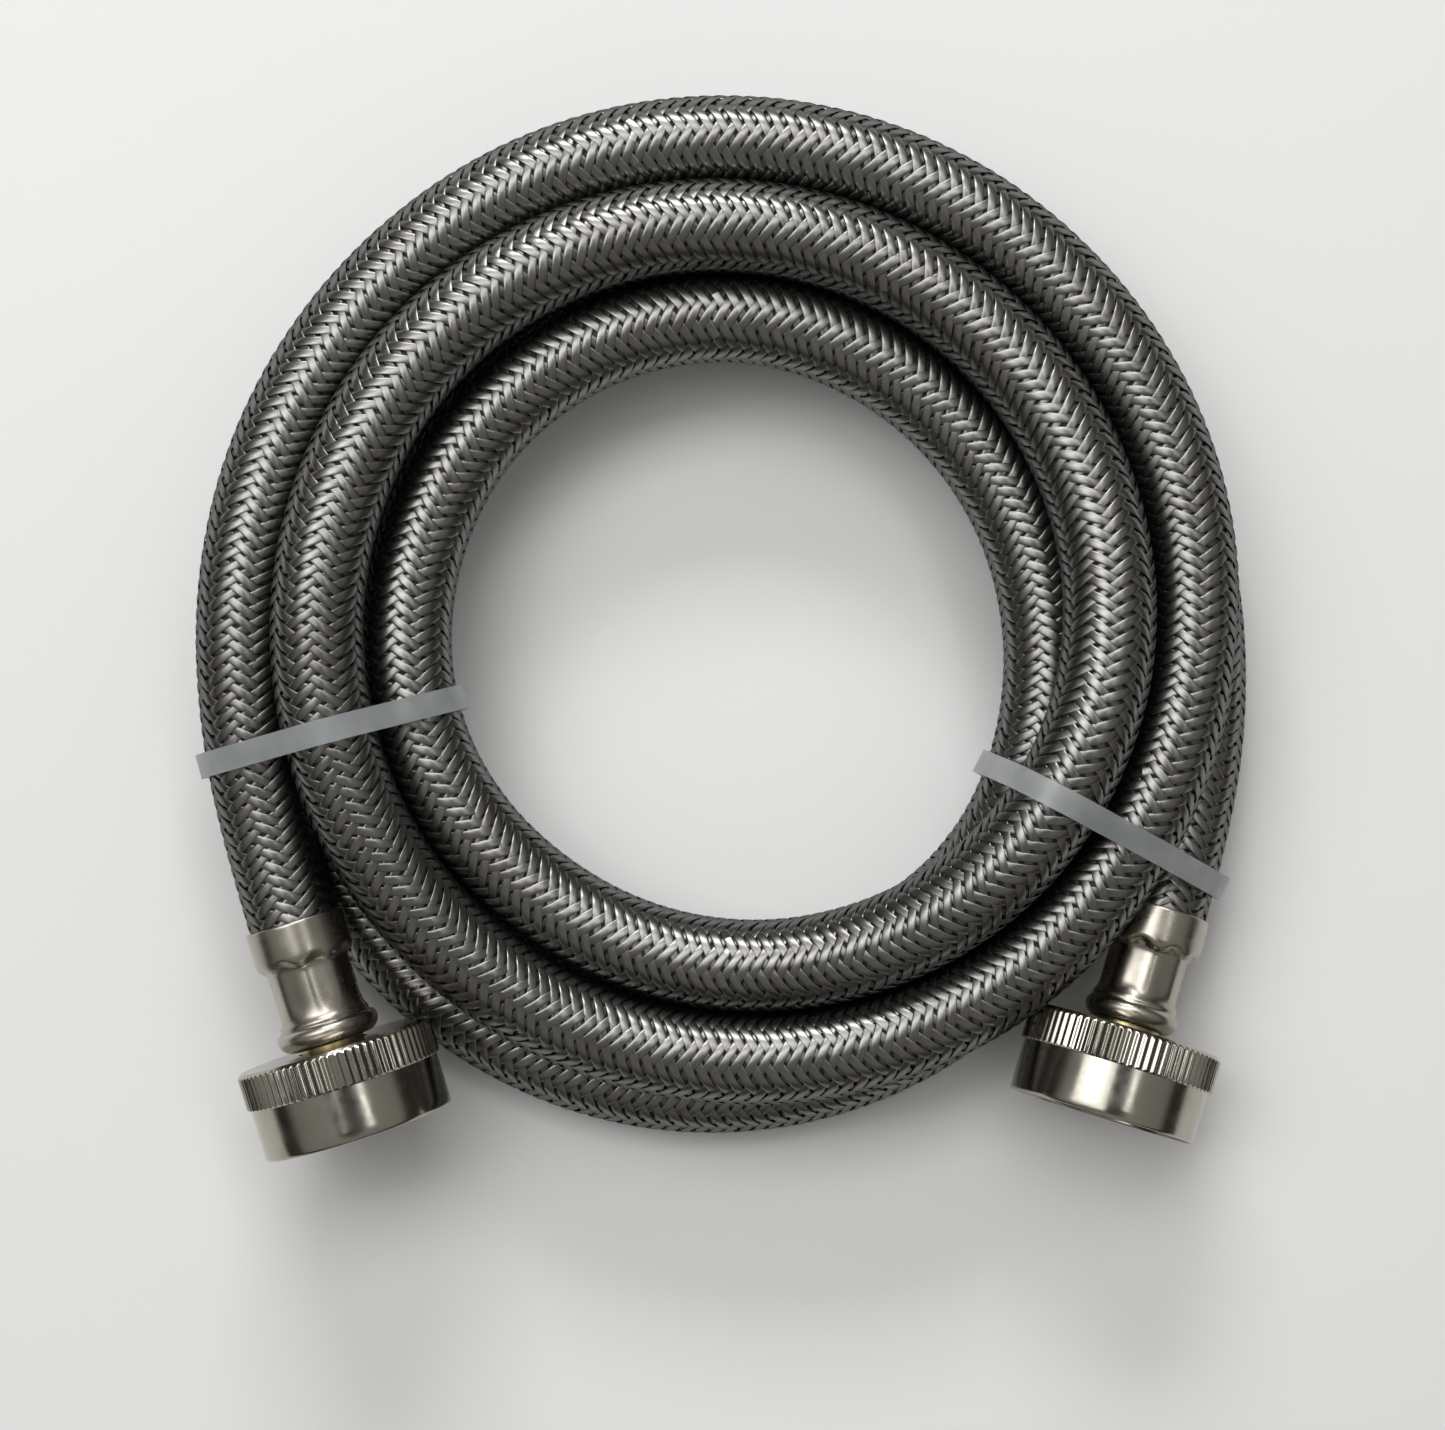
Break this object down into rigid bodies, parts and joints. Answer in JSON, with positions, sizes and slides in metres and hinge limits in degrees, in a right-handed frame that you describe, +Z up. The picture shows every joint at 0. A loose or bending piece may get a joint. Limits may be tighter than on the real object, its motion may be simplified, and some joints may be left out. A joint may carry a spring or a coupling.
{
  "type": "braided supply line",
  "caption": "Coiled stainless-braided washing-machine fill hose with a swivel hose-thread coupling nut at each end, held by nylon cable ties.",
  "frame": {"origin": "middle of the footprint on the surface the coil lies on", "axes": "+Z up, square to the flat coil; the two coupling nuts point towards -Y, side by side in X"},
  "size_m": [0.1582, 0.1582, 0.0387],
  "materials": {
    "liner_rubber": "black extruded rubber tube",
    "braid_wire": "bright stainless wire braid, groups of fine round wires",
    "ferrule_steel": "plain stainless sheet, crimped, satin",
    "stem_brass": "turned brass",
    "washer_rubber": "matt black moulded rubber",
    "nut_nickel": "dull nickel plate over turned and knurled metal",
    "tie_nylon": "natural translucent nylon"
  },
  "bodies": {
    "hose": {"hose_liner": "liner_rubber", "braid_sleeve": "braid_wire", "ferrule_left": "ferrule_steel", "ferrule_right": "ferrule_steel", "barbed_stem_left": "stem_brass", "barbed_stem_right": "stem_brass", "cable_tie_left": "tie_nylon", "cable_tie_right": "tie_nylon"},
    "nut_left": {"coupling_nut_left": "nut_nickel", "hose_washer_left": "washer_rubber"},
    "nut_right": {"coupling_nut_right": "nut_nickel", "hose_washer_right": "washer_rubber"}
  },
  "joints": [
    {"name": "nut_swivel_left", "type": "hinge", "parent": "hose", "child": "nut_left", "pos_m": [-0.05892, -0.06216, 0.02143], "axis": [0.2987, -0.9543, 0.012], "continuous": true},
    {"name": "nut_swivel_right", "type": "hinge", "parent": "hose", "child": "nut_right", "pos_m": [0.05982, -0.06073, 0.01477], "axis": [-0.2966, -0.9489, 0.108], "continuous": true}
  ]
}
